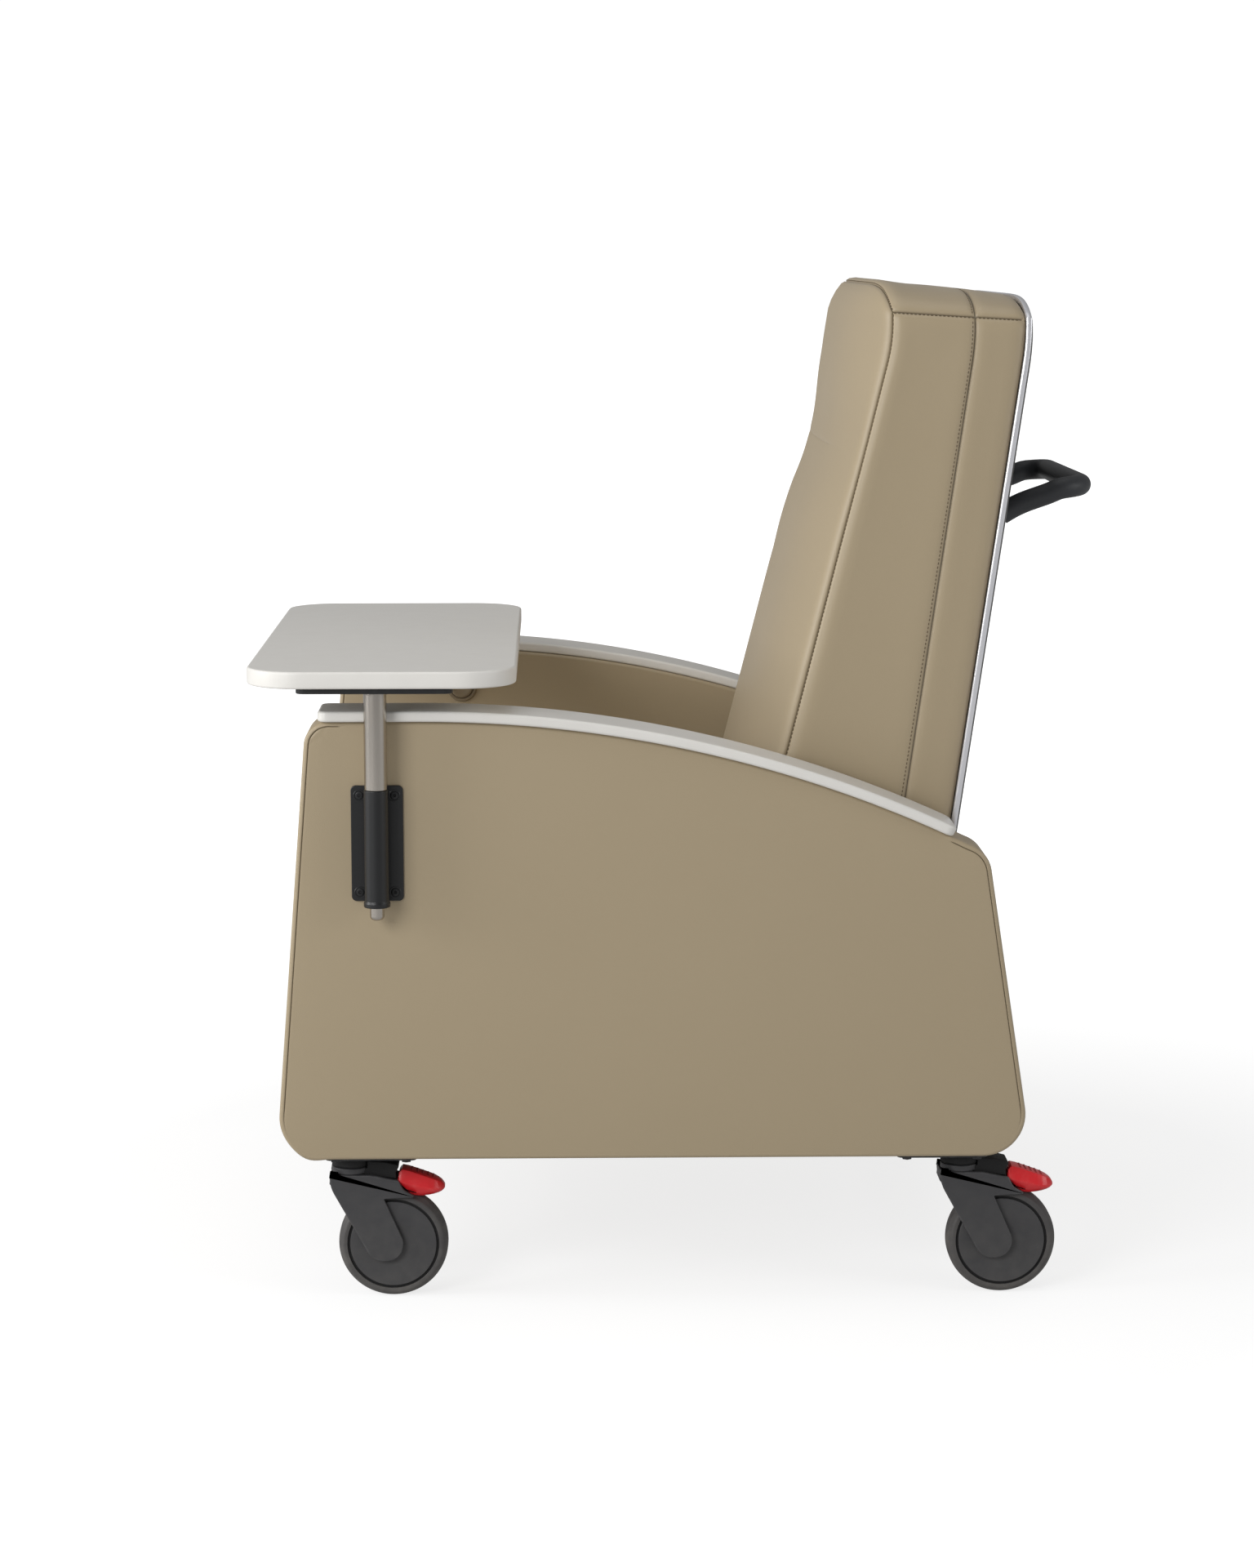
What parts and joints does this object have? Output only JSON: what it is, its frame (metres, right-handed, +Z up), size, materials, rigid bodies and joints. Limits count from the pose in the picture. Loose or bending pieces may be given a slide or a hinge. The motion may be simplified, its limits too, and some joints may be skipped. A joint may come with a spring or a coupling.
{
  "type": "patient recliner chair",
  "caption": "Upholstered patient recliner with curved armrests, reclining back with push handle, raising legrest, swing-away side tray and braked swivel casters.",
  "frame": {"origin": "on the floor, under the middle of the chair's bounding box at rest", "axes": "+Z up; the chair faces -Y; +X is the sitter's left, where the tray's post stands"},
  "size_m": [0.829, 0.9698, 1.1508],
  "materials": {
    "vinyl_panel": "matt taupe upholstery vinyl over a padded slab",
    "cushion_vinyl": "matt taupe upholstery vinyl over foam",
    "solid_surface": "satin off-white solid surface",
    "frame_steel": "dark powder coat",
    "stainless": "brushed along its length",
    "black_steel": "satin black powder coat",
    "board": "bare plywood",
    "pale_trim": "satin extruded strip",
    "shell_plastic": "dark moulded shell with a fine grain",
    "handle_paint": "charcoal powder coat with a fine texture",
    "taupe_plastic": "satin moulded plastic",
    "caster_plastic": "charcoal nylon with a fine grain",
    "tyre": "matt grey polyurethane",
    "pedal_red": "satin red nylon"
  },
  "bodies": {
    "chassis": {"side_panel_left": "vinyl_panel", "side_panel_right": "vinyl_panel", "armrest_left": "solid_surface", "armrest_right": "solid_surface", "base_frame": "frame_steel", "rear_panel": "vinyl_panel", "seat_deck": "board", "seat_cushion": "cushion_vinyl", "legrest_pin_left": "stainless", "legrest_pin_right": "stainless", "recline_pin_left": "stainless", "recline_pin_right": "stainless", "tray_bracket": "black_steel", "bracket_screw_1": "black_steel", "bracket_screw_2": "black_steel", "bracket_screw_3": "black_steel", "bracket_screw_4": "black_steel", "release_bezel": "taupe_plastic", "front_left_caster_plate": "frame_steel", "front_right_caster_plate": "frame_steel", "rear_left_caster_plate": "frame_steel", "rear_right_caster_plate": "frame_steel"},
    "back": {"back_cushion": "cushion_vinyl", "back_shell": "shell_plastic", "back_trim": "pale_trim", "push_handle": "handle_paint", "back_board": "board", "recline_plate_left": "frame_steel", "recline_plate_right": "frame_steel", "back_cross_tube": "frame_steel"},
    "legrest": {"legrest_cushion": "cushion_vinyl", "legrest_board": "board", "legrest_plate_left": "frame_steel", "legrest_plate_right": "frame_steel"},
    "gas_cylinder": {"gas_spring_cylinder": "black_steel"},
    "gas_rod": {"gas_spring_rod": "stainless"},
    "release": {"release_button": "taupe_plastic"},
    "tray": {"tray_top": "solid_surface", "tray_plate": "black_steel", "tray_post": "stainless"},
    "front_left_swivel": {"front_left_fork": "caster_plastic", "front_left_axle": "stainless"},
    "front_left_wheel": {"front_left_tyre": "tyre", "front_left_wheel_hub": "caster_plastic"},
    "front_left_pedal": {"front_left_brake_pedal": "pedal_red"},
    "front_right_swivel": {"front_right_fork": "caster_plastic", "front_right_axle": "stainless"},
    "front_right_wheel": {"front_right_tyre": "tyre", "front_right_wheel_hub": "caster_plastic"},
    "front_right_pedal": {"front_right_brake_pedal": "pedal_red"},
    "rear_left_swivel": {"rear_left_fork": "caster_plastic", "rear_left_axle": "stainless"},
    "rear_left_wheel": {"rear_left_tyre": "tyre", "rear_left_wheel_hub": "caster_plastic"},
    "rear_left_pedal": {"rear_left_brake_pedal": "pedal_red"},
    "rear_right_swivel": {"rear_right_fork": "caster_plastic", "rear_right_axle": "stainless"},
    "rear_right_wheel": {"rear_right_tyre": "tyre", "rear_right_wheel_hub": "caster_plastic"},
    "rear_right_pedal": {"rear_right_brake_pedal": "pedal_red"}
  },
  "joints": [
    {"name": "back_recline", "type": "hinge", "parent": "chassis", "child": "back", "pos_m": [-0.0205, 0.111, 0.44], "axis": [-1, 0, 0], "range_deg": [0, 45]},
    {"name": "legrest_lift", "type": "hinge", "parent": "chassis", "child": "legrest", "pos_m": [-0.0205, -0.404, 0.36], "axis": [-1, 0, 0], "range_deg": [0, 80]},
    {"name": "gas_spring_tilt", "type": "hinge", "parent": "chassis", "child": "gas_cylinder", "pos_m": [-0.0205, -0.244, 0.27], "axis": [1, 0, 0], "range_deg": [0, 2.5]},
    {"name": "gas_spring_extend", "type": "slide", "parent": "gas_cylinder", "child": "gas_rod", "axis": [0, 0.9606, 0.278], "range_m": [-0.049, 0]},
    {"name": "release_press", "type": "slide", "parent": "chassis", "child": "release", "axis": [-1, 0, 0], "range_m": [0, 0.0025], "stiffness_N_per_m": 600},
    {"name": "tray_swing", "type": "hinge", "parent": "chassis", "child": "tray", "pos_m": [0.388, -0.342, 0.597], "axis": [0, 0, 1], "range_deg": [0, 180]},
    {"name": "front_left_caster_swivel", "type": "hinge", "parent": "chassis", "child": "front_left_swivel", "pos_m": [0.3125, -0.3785, 0.1667], "axis": [0, 0, 1], "continuous": true},
    {"name": "front_left_wheel_roll", "type": "hinge", "parent": "front_left_swivel", "child": "front_left_wheel", "pos_m": [0.3125, -0.331, 0.06211], "axis": [1, 0, 0], "continuous": true},
    {"name": "front_left_brake_lift", "type": "hinge", "parent": "front_left_swivel", "child": "front_left_pedal", "pos_m": [0.3125, -0.317, 0.1445], "axis": [1, 0, 0], "range_deg": [0, 12]},
    {"name": "front_right_caster_swivel", "type": "hinge", "parent": "chassis", "child": "front_right_swivel", "pos_m": [-0.3535, -0.3785, 0.1667], "axis": [0, 0, 1], "continuous": true},
    {"name": "front_right_wheel_roll", "type": "hinge", "parent": "front_right_swivel", "child": "front_right_wheel", "pos_m": [-0.3535, -0.331, 0.06211], "axis": [1, 0, 0], "continuous": true},
    {"name": "front_right_brake_lift", "type": "hinge", "parent": "front_right_swivel", "child": "front_right_pedal", "pos_m": [-0.3535, -0.317, 0.1445], "axis": [1, 0, 0], "range_deg": [0, 12]},
    {"name": "rear_left_caster_swivel", "type": "hinge", "parent": "chassis", "child": "rear_left_swivel", "pos_m": [0.3125, 0.3185, 0.1667], "axis": [0, 0, 1], "continuous": true},
    {"name": "rear_left_wheel_roll", "type": "hinge", "parent": "rear_left_swivel", "child": "rear_left_wheel", "pos_m": [0.3125, 0.366, 0.06211], "axis": [1, 0, 0], "continuous": true},
    {"name": "rear_left_brake_lift", "type": "hinge", "parent": "rear_left_swivel", "child": "rear_left_pedal", "pos_m": [0.3125, 0.38, 0.1445], "axis": [1, 0, 0], "range_deg": [0, 12]},
    {"name": "rear_right_caster_swivel", "type": "hinge", "parent": "chassis", "child": "rear_right_swivel", "pos_m": [-0.3535, 0.3185, 0.1667], "axis": [0, 0, 1], "continuous": true},
    {"name": "rear_right_wheel_roll", "type": "hinge", "parent": "rear_right_swivel", "child": "rear_right_wheel", "pos_m": [-0.3535, 0.366, 0.06211], "axis": [1, 0, 0], "continuous": true},
    {"name": "rear_right_brake_lift", "type": "hinge", "parent": "rear_right_swivel", "child": "rear_right_pedal", "pos_m": [-0.3535, 0.38, 0.1445], "axis": [1, 0, 0], "range_deg": [0, 12]}
  ],
  "couplings": [
    {"joint": "gas_spring_tilt", "follows": "back_recline", "ratio": 0.0507},
    {"joint": "gas_spring_extend", "follows": "back_recline", "m_per_rad": -0.0605}
  ]
}
